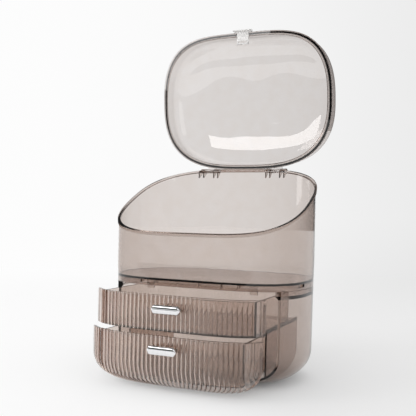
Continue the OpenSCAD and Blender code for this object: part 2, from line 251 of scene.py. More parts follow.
# ---------------------------------------------------------------- materials
def new_mat(name):
    m = bpy.data.materials.new(name)
    m.use_nodes = True
    nt = m.node_tree
    nt.nodes.clear()
    out = nt.nodes.new("ShaderNodeOutputMaterial")
    p = nt.nodes.new("ShaderNodeBsdfPrincipled")
    nt.links.new(p.outputs["BSDF"], out.inputs["Surface"])
    tc = nt.nodes.new("ShaderNodeTexCoord")
    return m, nt, p, out, tc


def noise(nt, tc, scale, detail=2.0, rough=0.5, stretch=None):
    n = nt.nodes.new("ShaderNodeTexNoise")
    n.inputs["Scale"].default_value = scale
    n.inputs["Detail"].default_value = detail
    n.inputs["Roughness"].default_value = rough
    if stretch:
        mp = nt.nodes.new("ShaderNodeMapping")
        mp.inputs["Scale"].default_value = stretch
        nt.links.new(tc.outputs["Object"], mp.inputs["Vector"])
        nt.links.new(mp.outputs["Vector"], n.inputs["Vector"])
    else:
        nt.links.new(tc.outputs["Object"], n.inputs["Vector"])
    return n


def ramp(nt, src, lo, hi, a, b):
    r = nt.nodes.new("ShaderNodeValToRGB")
    r.color_ramp.elements[0].position = lo
    r.color_ramp.elements[1].position = hi
    r.color_ramp.elements[0].color = (*a, 1)
    r.color_ramp.elements[1].color = (*b, 1)
    nt.links.new(src, r.inputs["Fac"])
    return r


def to_range(nt, src, lo, hi, a=0.3, b=0.7):
    r = nt.nodes.new("ShaderNodeMapRange")
    r.inputs["From Min"].default_value = a
    r.inputs["From Max"].default_value = b
    r.inputs["To Min"].default_value = lo
    r.inputs["To Max"].default_value = hi
    nt.links.new(src, r.inputs["Value"])
    return r


def smoke(name, tint, density, rough=(0.0, 0.005), wave=0.02, cut=None, edge_shade=None):
    """Clear smoke-brown moulded plastic: tint builds up with thickness, the faces are faintly wavy; with a cut plane
    or an edge band given, painted shade darkens the base colour there.
    """
    m, nt, p, out, tc = new_mat(name)
    p.inputs["Transmission Weight"].default_value = 1.0
    p.inputs["IOR"].default_value = 1.55
    p.inputs["Coat Weight"].default_value = 0.0
    grain = noise(nt, tc, 55.0, 3.0)
    col = ramp(nt, grain.outputs["Fac"], 0.35, 0.65, (0.985, 0.975, 0.965), (1.0, 1.0, 1.0))
    nt.links.new(col.outputs["Color"], p.inputs["Base Color"])
    if cut is not None or edge_shade is not None:
        # painted shade: a dark base colour on the end faces at the cut plane, or on the front faces beyond a given x
        # at the tray's front corners, standing in for light trapped where a wall ends
        geo = nt.nodes.new("ShaderNodeNewGeometry")
        sn = nt.nodes.new("ShaderNodeSeparateXYZ")
        nt.links.new(geo.outputs["True Normal"], sn.inputs[0])
        sp = nt.nodes.new("ShaderNodeSeparateXYZ")
        nt.links.new(tc.outputs["Object"], sp.inputs[0])
        if cut is not None:
            parts = [to_range(nt, sn.outputs["Y"], 1.0, 0.0, -0.95, -0.85), to_range(nt, sp.outputs["Y"], 1.0, 0.0, cut + 0.0005, cut + 0.001),
                     to_range(nt, sp.outputs["Y"], 0.0, 1.0, cut - 0.001, cut - 0.0005)]
            # painted shade colour of the cut end faces
            tone = (0.30, 0.24, 0.21, 1)
        else:
            side = nt.nodes.new("ShaderNodeMath")
            side.operation = "ABSOLUTE"
            nt.links.new(sp.outputs["X"], side.inputs[0])
            parts = [to_range(nt, sn.outputs["Y"], 1.0, 0.0, -0.6, -0.5), to_range(nt, side.outputs["Value"], 0.0, 1.0, edge_shade[0] - 0.0001, edge_shade[0] + 0.0001)]
            # painted shade colour given with the edge band
            tone = (*edge_shade[1], 1)
        painted_shade_mask = parts[0].outputs["Result"]
        for q in parts[1:]:
            both = nt.nodes.new("ShaderNodeMath")
            both.operation = "MULTIPLY"
            nt.links.new(painted_shade_mask, both.inputs[0])
            nt.links.new(q.outputs["Result"], both.inputs[1])
            painted_shade_mask = both.outputs["Value"]
        body = col.outputs["Color"]
        if cut is not None:
            # painted shade: the collar above the seam gets a darker base colour, where the tub's skirt lies over it
            collar_shade = nt.nodes.new("ShaderNodeMix")
            collar_shade.data_type = "RGBA"
            z = to_range(nt, sp.outputs["Z"], 0.0, 1.0, (SEAM - 1) * MM, (SEAM + 0.5) * MM)
            nt.links.new(z.outputs["Result"], collar_shade.inputs["Factor"])
            nt.links.new(body, collar_shade.inputs["A"])
            collar_shade.inputs["B"].default_value = (0.80, 0.73, 0.69, 1)
            body = collar_shade.outputs["Result"]
        mc = nt.nodes.new("ShaderNodeMix")
        mc.data_type = "RGBA"
        nt.links.new(painted_shade_mask, mc.inputs["Factor"])
        nt.links.new(body, mc.inputs["A"])
        mc.inputs["B"].default_value = tone
        nt.links.new(mc.outputs["Result"], p.inputs["Base Color"])
    scuff = noise(nt, tc, 160.0, 4.0, 0.6)
    r = to_range(nt, scuff.outputs["Fac"], rough[0], rough[1])
    nt.links.new(r.outputs["Result"], p.inputs["Roughness"])
    if wave:
        w = noise(nt, tc, 16.0, 1.0)
        b = nt.nodes.new("ShaderNodeBump")
        b.inputs["Strength"].default_value = wave
        b.inputs["Distance"].default_value = 0.004
        nt.links.new(w.outputs["Fac"], b.inputs["Height"])
        nt.links.new(b.outputs["Normal"], p.inputs["Normal"])
    v = nt.nodes.new("ShaderNodeVolumeAbsorption")
    v.inputs["Color"].default_value = (*tint, 1)
    v.inputs["Density"].default_value = density
    nt.links.new(v.outputs["Volume"], out.inputs["Volume"])
    return m


SMOKE = smoke("smoke_plastic", (0.70, 0.62, 0.575), 350.0)
# the case's smoke carries painted shade on its cut end faces and on its collar
SMOKE_CASE = smoke("smoke_plastic_case", (0.70, 0.62, 0.575), 390.0, cut=CUT * MM)
SMOKE_LID = smoke("smoke_plastic_lid", (0.66, 0.60, 0.57), 330.0, wave=0.015)
SMOKE_IN = smoke("smoke_inner", (0.69, 0.58, 0.52), 620.0)
# the trays' smoke carries a painted shade band on the front faces at their outer corners
SMOKE_TRAY = smoke("smoke_inner_tray", (0.71, 0.60, 0.53), 400.0, edge_shade=(0.1034, (0.02, 0.016, 0.014)))
SMOKE_TRAY2 = smoke("smoke_inner_tray_low", (0.71, 0.60, 0.53), 400.0, edge_shade=(0.0948, (0.05, 0.04, 0.035)))
SMOKE_FRONT = smoke("smoke_plastic_reeded", (0.72, 0.60, 0.53), 230.0)


def chrome():
    m, nt, p, out, tc = new_mat("handle_chrome")
    p.inputs["Metallic"].default_value = 1.0
    g = noise(nt, tc, 900.0, 3.0)
    c = ramp(nt, g.outputs["Fac"], 0.3, 0.7, (0.80, 0.80, 0.81), (0.92, 0.92, 0.93))
    nt.links.new(c.outputs["Color"], p.inputs["Base Color"])
    s = noise(nt, tc, 300.0, 4.0, 0.6)
    r = to_range(nt, s.outputs["Fac"], 0.05, 0.13)
    nt.links.new(r.outputs["Result"], p.inputs["Roughness"])
    return m


def steel():
    m, nt, p, out, tc = new_mat("steel_pin")
    p.inputs["Metallic"].default_value = 1.0
    g = noise(nt, tc, 400.0, 4.0, 0.6, (1, 8, 8))
    c = ramp(nt, g.outputs["Fac"], 0.3, 0.7, (0.42, 0.41, 0.40), (0.62, 0.61, 0.60))
    nt.links.new(c.outputs["Color"], p.inputs["Base Color"])
    r = to_range(nt, g.outputs["Fac"], 0.22, 0.4)
    nt.links.new(r.outputs["Result"], p.inputs["Roughness"])
    return m


def rubber():
    m, nt, p, out, tc = new_mat("rubber_foot")
    g = noise(nt, tc, 700.0, 5.0, 0.6)
    c = ramp(nt, g.outputs["Fac"], 0.3, 0.7, (0.045, 0.038, 0.035), (0.085, 0.075, 0.07))
    nt.links.new(c.outputs["Color"], p.inputs["Base Color"])
    r = to_range(nt, g.outputs["Fac"], 0.55, 0.8)
    nt.links.new(r.outputs["Result"], p.inputs["Roughness"])
    b = nt.nodes.new("ShaderNodeBump")
    b.inputs["Strength"].default_value = 0.3
    b.inputs["Distance"].default_value = 0.0003
    nt.links.new(g.outputs["Fac"], b.inputs["Height"])
    nt.links.new(b.outputs["Normal"], p.inputs["Normal"])
    return m


def cloudy():
    m, nt, p, out, tc = new_mat("clear_latch")
    p.inputs["Transmission Weight"].default_value = 0.3
    p.inputs["IOR"].default_value = 1.5
    g = noise(nt, tc, 140.0, 3.0)
    c = ramp(nt, g.outputs["Fac"], 0.3, 0.7, (0.84, 0.825, 0.81), (0.93, 0.92, 0.91))
    nt.links.new(c.outputs["Color"], p.inputs["Base Color"])
    r = to_range(nt, g.outputs["Fac"], 0.24, 0.30)
    nt.links.new(r.outputs["Result"], p.inputs["Roughness"])
    return m


CHROME, STEEL, RUBBER, CLOUDY = chrome(), steel(), rubber(), cloudy()

SLOT = {"smoke_plastic": SMOKE, "smoke_inner": SMOKE_IN, "steel_pin": STEEL, "rubber_foot": RUBBER, "clear_latch": CLOUDY, "handle_chrome": CHROME}


def place(ob, body, slot, *nodes):
    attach(ob, body)
    if nodes:
        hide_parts(*nodes)
    return ob


# ---------------------------------------------------------------- drawer case
def build_case():
    bend = [bowl_ring(a, 0) for a in range(0, 91, 6)]
    up = [ring(z, 0) for z in (60, 90, SEAM - 0.4)]
    top = [ring(SEAM - 0.1, 0.1), ring(SEAM, 0.4), ring(SEAM, CIN - 0.2), ring(SEAM + 0.2, CIN), ring(CTOP - 0.4, CIN),
           ring(CTOP, CIN + 0.4), ring(CTOP, CIN + 1.8), ring(CTOP - 0.4, CIN + 2.2), ring(SEAM - 6, CIN + 2.2), ring(SEAM - 10, WALL), ring(80, WALL)]
    inner = [bowl_ring(a, WALL) for a in range(90, -1, -6)]
    ob = make("case_shell", *loft(bend + up + top + inner))
    boolean(ob, make("cutter", *brick(-W, W, -D, CUT, -2, SEAM)), "DIFFERENCE")
    # runners under the lower tray
    for s in (-1, 1):
        x0 = s * 60
        boolean(ob, make("rail", *prism([(x0 - 1.5, BOT + WALL - 0.6), (x0 + 1.5, BOT + WALL - 0.6), (x0 + 1.3, 15.8), (x0 + 0.9, 16.2), (x0 - 0.9, 16.2), (x0 - 1.3, 15.8)],
                                        CUT + 2, CUT + 124, "y")), "UNION")
    return clean(ob, SMOKE_CASE, 32, 0.3)


place(build_case(), "cabinet", "smoke_plastic", "base_case")


def build_frame():
    y0, y1 = CUT + 0.5, 67.0
    g, t = GUIDE, 2.2
    prof = [(-g, 4), (-g, SHELF + 1.5), (-g + 0.3, SHELF + 1.8), (-g + t - 0.3, SHELF + 1.8), (-g + t, SHELF + 1.5), (-g + t, SHELF + 0.5), (-g + t + 0.5, SHELF),
            (g - t - 0.5, SHELF), (g - t, SHELF + 0.5), (g - t, SHELF + 1.5), (g - t + 0.3, SHELF + 1.8), (g - 0.3, SHELF + 1.8), (g, SHELF + 1.5), (g, 4),
            (g - t, 4), (g - t, SHELF - t - 1.2), (g - t - 0.35, SHELF - t - 0.35), (g - t - 1.2, SHELF - t),
            (-g + t + 1.2, SHELF - t), (-g + t + 0.35, SHELF - t - 0.35), (-g + t, SHELF - t - 1.2), (-g + t, 4)]
    ob = make("drawer_guide", *prism(prof, y0, y1, "y"))
    room = [bowl_ring(a, WALL + 0.12) for a in range(0, 91, 6)] + [ring(SEAM - 12, WALL + 0.12)]
    boolean(ob, make("room", *loft(room)), "INTERSECT")
    for s in (-1, 1):
        boolean(ob, make("stop", *brick(s * 75 - 5, s * 75 + 5, -61, -58, SHELF - 4.6, SHELF - 1.8)), "UNION")
    return clean(ob, SMOKE_IN, 32, 0.25)


place(build_frame(), "cabinet", "smoke_inner", "drawer_frame")


# ---------------------------------------------------------------- tub
def hinge_eye_parts(x0, x1):
    hy, hz = HINGE
    parts = []
    xm = (x0 + x1) / 2
    wall = back_y(xm, 1.3)
    n = 40
    outline = []
    # web from the wall into the round eye
    root = min(hz + 0.6, rim_z(wall) - 0.4)
    outline += [(wall, min(hz - 1.6, root - 1.6)), (hy - 1.0, hz - 3.2)]
    outline += [(hy + 3.4 * math.cos(a), hz + 3.4 * math.sin(a)) for a in [math.radians(-105 + 210 * i / n) for i in range(n + 1)]]
    outline += [(hy - 1.6, hz + 2.9), (hy - 3.4, hz + 1.0), (wall, root)]
    parts.append(prism(outline, x0, x1, "x"))
    return parts


def gusset(x, t=1.5):
    hy, hz = HINGE
    w0 = back_y(x + t / 2, 1.3)
    w1 = back_y(x + t / 2, -0.4)
    root = min(hz + 0.4, rim_z(w0) - 0.4)
    return prism([(w0, hz - 11), (w1, hz - 11), (hy + 1.2, hz - 3.3), (hy + 3.0, hz - 1.2), (hy - 1.0, hz + 0.6), (w0, root)], x, x + t, "x")


def build_tub():
    i = WALL
    rings = [ring(UNDER, 2.5), ring(UNDER - 0.2, 2.3), ring(SEAM + 0.4, 2.3), ring(SEAM + 0.12, 2.2), ring(SEAM, 1.9), ring(SEAM, 0.4), ring(SEAM + 0.12, 0.12), ring(SEAM + 0.4, 0),
             ring(FLOOR, 0)]
    rings += [slant(0, FLOOR, f, 0) for f in (0.2, 0.4, 0.6, 0.8)]
    rings += [slant(0, FLOOR, 1, 6.4), slant(0, FLOOR, 1, 4.4), slant(-0.12, FLOOR, 1, 4.1), slant(-0.4, FLOOR, 1, 3.8), slant(-FLARE + 0.25, FLOOR, 1, 3.5), slant(-FLARE, FLOOR, 1, 3.25),
              slant(-FLARE, FLOOR, 1, 0.6), slant(-FLARE + 0.15, FLOOR, 1, 0.2), slant(-FLARE + 0.5, FLOOR, 1, 0.0),
              slant(i - 1.0, FLOOR, 1, 0.0), slant(i - 0.6, FLOOR, 1, 0.25), slant(i - 0.4, FLOOR, 1, 0.9), slant(i, FLOOR, 1, 3.0)]
    rings += [slant(i, FLOOR, f, 0) for f in (0.8, 0.6, 0.4, 0.2)]
    rings += [ring(FLOOR + 1.0, i), ring(FLOOR + 0.3, i + 0.3), ring(FLOOR, i + 1.0)]
    ob = make("tub_shell", *loft(rings))
    for x0, x1 in ((-69.5, -61), (-46.5, -38.5), (38.5, 46.5), (61, 69.5)):
        for part in hinge_eye_parts(x0, x1):
            boolean(ob, make("eye", *part), "UNION")
        for gx in (x0, x1 - 1.5):
            boolean(ob, make("gusset", *gusset(gx)), "UNION")
    # straight bar between the two hinge stations
    hz = HINGE[1]
    boolean(ob, make("bar", *prism([(88.4, hz - 2.3), (97.4, hz - 2.3), (97.8, hz - 1.9), (97.8, hz + 0.5), (97.4, hz + 0.9), (88.4, hz + 0.9)], -39.5, 39.5, "x")), "UNION")
    for s in (-1, 1):
        boolean(ob, make("catch", *brick(s * 75 - 5, s * 75 + 5, -48, -46, 113.8, UNDER + 0.3)), "UNION")
    for x in (-69, -46, -15.3, 15.3, 46, 69):
        y0, y1 = front_y(x, hw(UNDER, 5.4), hd(UNDER, 5.4)), back_y(x, 5.6)
        boolean(ob, make("rib", *brick(x - 0.6, x + 0.6, y0, y0 + 4, UNDER - 4, UNDER + 0.3)), "UNION")
        boolean(ob, make("rib", *brick(x - 0.6, x + 0.6, y1 - 4, y1, UNDER - 4, UNDER + 0.3)), "UNION")
    for s in (-1, 1):
        boolean(ob, make("bore", *tube_x(HINGE[0], HINGE[1], 1.52, *((36, 72) if s > 0 else (-72, -36)), n=40, edge=0.01)), "DIFFERENCE")
        for y0, y1 in ((-D / 2 - 5, -D / 2 + 7.5), (D / 2 - 12, D / 2 + 4)):
            boolean(ob, make("window", *brick(s * 57.4 - 10.6, s * 57.4 + 10.6, y0, y1, SEAM + 3.2, SEAM + 7.2)), "DIFFERENCE")
        boolean(ob, make("window", *brick(s * W / 2 - 6, s * W / 2 + 6, -34, -20, SEAM + 3.2, SEAM + 7.2)), "DIFFERENCE")
    return clean(ob, SMOKE, 32, 0.0)


place(build_tub(), "cabinet", "smoke_plastic", "organizer_tub")


# ---------------------------------------------------------------- lid
def lid_matrix():
    hy, hz = HINGE[0] * MM, HINGE[1] * MM
    return (Matrix.Translation((0, hy, hz)) @ Matrix.Rotation(math.radians(-OPEN), 4, "X") @ Matrix.Translation((0, -hy, -hz))
            @ Matrix.Translation((0, 0, MID * MM)) @ Matrix.Rotation(TILT, 4, "X"))


LID = lid_matrix()
HV = HINGE[0] * math.cos(TILT) + (HINGE[1] - MID) * math.sin(TILT)
HH = -HINGE[0] * math.sin(TILT) + (HINGE[1] - MID) * math.cos(TILT)
EDGE = plan(W / 2, LB)


def lid_ring(c, h):
    return [(x, y, h) for x, y in plan(W / 2 - c, LB - c)]


def dome_ring(c, h):
    """Pulled in along the rays to the middle, so the dome has no crease."""
    return [(x * (1 - c / math.hypot(x, y)), y * (1 - c / math.hypot(x, y)), h) for x, y in EDGE]


def dome(c):
    return DOME_W + (DOME - DOME_W) * max(0.0, 1 - max(0.0, 1 - c / DOME_C) ** 2.4) ** (1 / 2.4)


def build_lid():
    t = WALL - 0.2
    cs = [0.005, 0.03, 0.1, 0.25, 0.5, 0.9, 1.4, 2.1, 3.0, 4.2, 5.6, 7.4, 9.6, 12.2, 15.2, 18.8, 23, 28, 34, 41, 49, 58, 68, 80]
    outer = [dome_ring(c, dome(c)) for c in cs]
    inner = []
    for c in reversed(cs):
        # step inwards along the surface normal
        e = min(0.01, c / 2)
        s = (dome(c + e) - dome(c - e)) / (2 * e)
        n = math.hypot(1, s)
        inner.append((c + t * s / n, dome(c) - t / n))
    inner = [dome_ring(c, h) for c, h in inner]
    rings = inner
    rings += [lid_ring(2.12, 6.5), lid_ring(2.15, 4.4), lid_ring(2.35, 3.2), lid_ring(3.0, 2.5), lid_ring(4.2, 2.1), lid_ring(4.8, 1.6), lid_ring(5.2, -0.2), lid_ring(5.1, -0.6), lid_ring(4.7, -0.75), lid_ring(4.2, -0.5), lid_ring(3.8, 0.1),
              lid_ring(3.4, 0.4), lid_ring(-FLARE + 0.4, 0.4), lid_ring(-FLARE, 0.8), lid_ring(-FLARE, 2.5), lid_ring(-FLARE + 0.3, 2.9), lid_ring(-0.5, 3.2), lid_ring(-0.15, 3.8), lid_ring(0.0, 4.9)]
    rings += outer
    ob = make("lid_dome", *loft(rings))
    for s in (-1, 1):
        x0, x1 = (47.3, 60.2) if s > 0 else (-60.2, -47.3)
        n = 40
        prof = [(HV - 1.9, HH + 1.0), (HV - 1.9, 0.8), (LB - 5.2, 0.8), (LB - 5.2, 2.6), (HV + 0.6, 2.6), (HV + 2.4, 1.6), (HV + 3.2, -0.4)]
        prof += [(HV + 3.2 * math.cos(a), HH + 3.2 * math.sin(a)) for a in [math.radians(0 - 215 * i / n) for i in range(n + 1)]]
        boolean(ob, make("eye", *prism(prof, x0, x1, "x")), "UNION")
        boolean(ob, make("bore", *tube_x(HV, HH, 1.56, x0 - 2, x1 + 2, n=40, edge=0.01)), "DIFFERENCE")
    boolean(ob, make("slot", *brick(-9.6, 9.6, -LB - 5, -LB + 6.4, -2, 2.2)), "DIFFERENCE")
    clean(ob, SMOKE_LID, 32, 0.0)
    ob.data.transform(LID)
    return ob


place(build_lid(), "lid", "smoke_plastic", "lid_shell")


def build_latch():
    def soft(x0, x1, y0, y1, z0, z1, r=0.35):
        r = min(r, (z1 - z0) / 2.2, (y1 - y0) / 2.2)
        def rect(e, z):
            return [(x0 + e, y0 + e, z), (x1 - e, y0 + e, z), (x1 - e, y1 - e, z), (x0 + e, y1 - e, z)]
        return loft([rect(r, z0), rect(r * 0.3, z0 + r * 0.3), rect(0, z0 + r), rect(0, z1 - r), rect(r * 0.3, z1 - r * 0.3), rect(r, z1)])
    ob = make("latch_clip", *soft(-14.5, 14.5, -LB - 5.1, -LB - 1.8, 0.4, 4.4, 0.6))
    boolean(ob, make("lip", *soft(-14.5, 14.5, -LB - 5.1, -LB - 3.5, -3.6, 0.9, 0.5)), "UNION")
    boolean(ob, make("tongue", *brick(-9.3, 9.3, -LB - 4, -LB + 16, 0.5, 2.0)), "UNION")
    boolean(ob, make("slot", *brick(-7.4, 7.4, -LB + 10.6, -LB + 14.2, -1, 4)), "DIFFERENCE")
    boolean(ob, make("bar", *soft(-9.3, 9.3, -LB + 14.2, -LB + 16, -1.6, 2.0, 0.4)), "UNION")
    clean(ob, CLOUDY, 32, 0.15)
    ob.data.transform(LID)
    return ob


place(build_latch(), "lid", "clear_latch", "lid_latch")


# ---------------------------------------------------------------- drawers
def tray_ring(z, w, y1, r, cf, cs, shift):
    a, b = hw(z, cf), hd(z, cf)
    w, y1, q = w - cs, y1 - cs, max(r - cs, 0.5)
    pts = []
    nf = 90
    for i in range(nf + 1):
        x = -w + 2 * w * i / nf
        pts.append((x, front_y(x, a, b) - shift, z))
    k = 12
    for i in range(k + 1):
        t = math.pi / 2 * i / k
        pts.append((w - q + q * math.cos(t), y1 - q + q * math.sin(t) - shift, z))
    for i in range(k + 1):
        t = math.pi / 2 + math.pi / 2 * i / k
        pts.append((-w + q + q * math.cos(t), y1 - q + q * math.sin(t) - shift, z))
    return pts


def holes(ob, z, shift, r=1.6):
    for s in (-1, 1):
        n = 32
        y0 = -D / 2 - shift
        c = loft([[(s * POST + r * math.cos(2 * math.pi * i / n), y, z + r * math.sin(2 * math.pi * i / n)) for i in range(n)] for y in (y0 - 8, y0 + 12)])
        boolean(ob, make("hole", *c), "DIFFERENCE")


FW = 2.8


def build_upper_tray():
    z0, z1, w, yb, s = 73.2, 115.3, 105.5, 70.0, UP_OUT
    def r(z, cf, cs):
        return tray_ring(z, w, yb, 20, FW + cf, cs, s)
    rings = [r(z0, 1.3, 1.0), r(z0 + 0.3, 0.6, 0.3), r(z0 + 1, 0.3, 0), r(z0 + 14, 0.3, 0), r(z1 - 14, 0.3, 0), r(z1 - 0.3, 0.3, 0), r(z1, 0.6, 0.3), r(z1, 2.0, 1.7), r(z1 - 0.3, 2.3, 2.0),
             r(z1 - 14, 2.3, 2), r(z0 + 14, 2.3, 2), r(z0 + 4.6, 2.3, 2), r(z0 + 3.2, 2.6, 2.3), r(z0 + 2.4, 3.3, 3.0), r(z0 + 2.0, 4.4, 4.1)]
    ob = make("upper_tray_shell", *loft(rings))
    for q in (-1, 1):
        x0 = GUIDE - 4.4 if q > 0 else -GUIDE + 2.6
        boolean(ob, make("skid", *brick(x0, x0 + 1.8, -58 - s, 54 - s, SHELF + 0.3, z0 + 0.4)), "UNION")
    holes(ob, 101, s)
    return clean(ob, SMOKE_TRAY, 32, 0.0)


place(build_upper_tray(), "upper_drawer", "smoke_inner", "upper_drawer_tray")


def build_lower_tray():
    z0, z1, w, yb, s = 16.6, 67.6, 96.5, 60.0, LO_OUT

    def cf(z):
        q = BR - FW
        return FW + 0.3 + (0.2 + q - math.sqrt(max(0.0, q * q - (BOT + BR - z) ** 2)) if z < BOT + BR else 0)

    def sr(z, r):
        return 0.0 if z >= z0 + r else r - math.sqrt(max(0.0, r * r - (z0 + r - z) ** 2))
    zs = [z0 + v for v in (0, 0.15, 0.4, 0.8, 1.5, 2.4, 3.6, 5, 6.5, 8, 10.5, 13, 17)] + [BOT + BR]
    def r(z, c, q):
        return tray_ring(z, w, yb, 14, c, q, s)
    rings = [r(z, cf(z), sr(z, 8)) for z in zs]
    rings += [r(z1 - 14, cf(z1), 0), r(z1 - 0.3, cf(z1), 0), r(z1, cf(z1) + 0.3, 0.3), r(z1, cf(z1) + 1.7, 1.7), r(z1 - 0.3, cf(z1) + 2, 2), r(z1 - 14, cf(z1) + 2, 2)]
    for z in reversed(zs[5:]):
        rings.append(r(z + (0.9 if z < z0 + 3 else 0.6), cf(z) + 2, sr(z, 8) + 2))
    rings += [r(z0 + 2.1, cf(z0) + 1.4, 6.5), r(z0 + 2, cf(z0) + 2.6, 8)]
    ob = make("lower_tray_shell", *loft(rings))
    holes(ob, 54, s)
    return clean(ob, SMOKE_TRAY2, 32, 0.0)


place(build_lower_tray(), "lower_drawer", "smoke_inner", "lower_drawer_tray")


# reeded fronts ---------------------------------------------------------------
REED_END, REEDS, REED_D, PER = 102.6, 18, 2.0, 12


def arc(u):
    """Height of a reed: a round top between two narrow steep grooves, 0 in them and 1 on the crest."""
    r = 0.56
    f = math.sqrt(r * r - 0.25)
    round_top = (math.sqrt(r * r - (u - 0.5) ** 2) - f) / (r - f)
    return 0.36 + 0.64 * round_top if 0.02 < u < 0.98 else 0.0


def reed_columns(end):
    """x and height (0 valley, 1 crest) of the columns along the front."""
    a, b = hw(95, 1), hd(95, 1)
    xs = np.linspace(0, REED_END, 400)
    ys = np.array([front_y(x, a, b) for x in xs])
    d = np.concatenate([[0], np.cumsum(np.hypot(np.diff(xs), np.diff(ys)))])
    pitch = d[-1] / REEDS
    xs2 = np.linspace(0, end, 600)
    ys2 = np.array([front_y(x, a, b) for x in xs2])
    d2 = np.concatenate([[0], np.cumsum(np.hypot(np.diff(xs2), np.diff(ys2)))])
    n = int(round(d2[-1] / pitch * PER))
    half = [(float(np.interp(i * pitch / PER, d2, xs2)), arc((i % PER) / PER)) for i in range(n + 1) if i * pitch / PER <= d2[-1]]
    return [(-x, h) for x, h in reversed(half[1:])] + half


def build_upper_front():
    a, b = hw(96, 0), hd(96, 0)
    z0, z1 = 74.4, 117.5
    cols = reed_columns(REED_END)

    def end_x(c):
        return (a - c) * max(1e-4, 1 - ((-(CUT - 0.6)) / (b - c)) ** NYF) ** (1 / NXF)

    def section(z, e):
        """Plan outline at z with its edges rounded in by e."""
        ex, ix = end_x(0.5 + e), end_x(0.5 + FW - e)
        pts = [(-ex, CUT - 0.6 - e)]
        k = 6
        tail = []
        for i in range(1, k):
            x = REED_END + 0.9 + (ex - REED_END - 0.9) * i / k
            tail.append((x, min(CUT - 0.6 - e, front_y(x, a - 0.5 - e, b - 0.5 - e))))
        for x, c in ((REED_END + 0.9, 0.5), (REED_END + 0.6, 0.6), (REED_END + 0.3, 1.2)):
            tail.insert(0, (x, front_y(x, a - c - e, b - c - e)))
        pts += [(-x, y) for x, y in reversed(tail)]
        for x, h in cols:
            c = REED_D * (1 - h) + e
            pts.append((x, front_y(x, a - c, b - c)))
        pts += tail
        pts.append((ex, CUT - 0.6 - e))
        pts.append((ix, CUT - 0.6 - e))
        for i in range(79, -80, -1):
            x = ix * i / 80
            pts.append((x, front_y(x, a - FW + e, b - FW + e)))
        pts.append((-ix, CUT - 0.6 - e))
        return [(x, y - UP_OUT, z) for x, y in pts]
    levels = [(z0, 0.4), (z0 + 0.12, 0.12), (z0 + 0.4, 0), (z0 + 10, 0), (z1 - 10, 0), (z1 - 0.4, 0), (z1 - 0.12, 0.12), (z1, 0.4)]
    ob = make("upper_front_reeded", *loft([section(z, e) for z, e in levels]))
    holes(ob, 101, UP_OUT)
    return clean(ob, SMOKE_FRONT, 40, 0.0)


place(build_upper_front(), "upper_drawer", "smoke_plastic", "upper_drawer_front")


def build_lower_front():
    close = CUT + 12
    ztop = 70.0
    end = 111.6
    cols = reed_columns(end)

    def outline(z, c, deep):
        a, b = hw(z, c), hd(z, c)
        xm = a * max(1e-4, 1 - (-close / b) ** NYF) ** (1 / NXF)
        g = min(1.0, xm / 113.5)
        pts = [(-xm, close, z)]
        k = 4
        tail = [g * end + (xm - g * end) * i / k for i in range(1, k)]
        pts += [(-x, front_y(x, a, b), z) for x in reversed(tail)]
        for x, h in cols:
            f = min(1.0, max(0.0, (abs(x) - 95) / 4))
            q = deep * (1 - h) * (1 - 0.62 * f)
            pts.append((x * g, front_y(x * g, a - q, b - q), z))
        pts += [(x, front_y(x, a, b), z) for x in tail]
        pts.append((xm, close, z))
        return pts

    def inside(z, c):
        a, b = hw(z, c), hd(z, c)
        xm = a * max(1e-4, 1 - (-close / b) ** NYF) ** (1 / NXF)
        return [(xm * i / 90, close if abs(i) == 90 else front_y(xm * i / 90, a, b), z) for i in range(-90, 91)]
    rin = BR - FW
    reach = D / 2 * kz(4) + CUT + 0.6
    ao = math.degrees(math.asin(max(0, 1 - (reach + 1.2) / BR)))
    ai = math.degrees(math.asin(max(0, 1 - (reach + 1.2 - FW) / rin)))
    n = 18
    o_rings, i_rings = [], []
    for k in range(n + 1):
        t = math.radians(ao + (90 - ao) * k / n)
        o_rings.append(outline(BOT + BR * (1 - math.cos(t)), BR * (1 - math.sin(t)), REED_D))
        t = math.radians(ai + (90 - ai) * k / n)
        i_rings.append(inside(BOT + BR - rin * math.cos(t), FW + rin * (1 - math.sin(t))))
    o_rings += [outline(z, 0, REED_D) for z in (48, 59, ztop - 0.4)] + [outline(ztop - 0.12, 0.12, REED_D), outline(ztop, 0.4, REED_D)]
    i_rings += [inside(z, FW) for z in (48, 59, ztop - 0.4)] + [inside(ztop - 0.1, FW - 0.15), inside(ztop + 0.1, FW - 0.4), inside(ztop + 3, FW - 0.4)]
    ob = make("lower_front_reeded", *loft(o_rings))
    boolean(ob, make("inside", *loft(i_rings)), "DIFFERENCE")
    boolean(ob, make("behind", *brick(-W, W, CUT - 0.6, CUT + 60, -5, 120)), "DIFFERENCE")
    ob.data.transform(Matrix.Translation((0, -LO_OUT * MM, 0)))
    holes(ob, 54, LO_OUT)
    return clean(ob, SMOKE_FRONT, 40, 0.0)


place(build_lower_front(), "lower_drawer", "smoke_plastic", "lower_drawer_front")


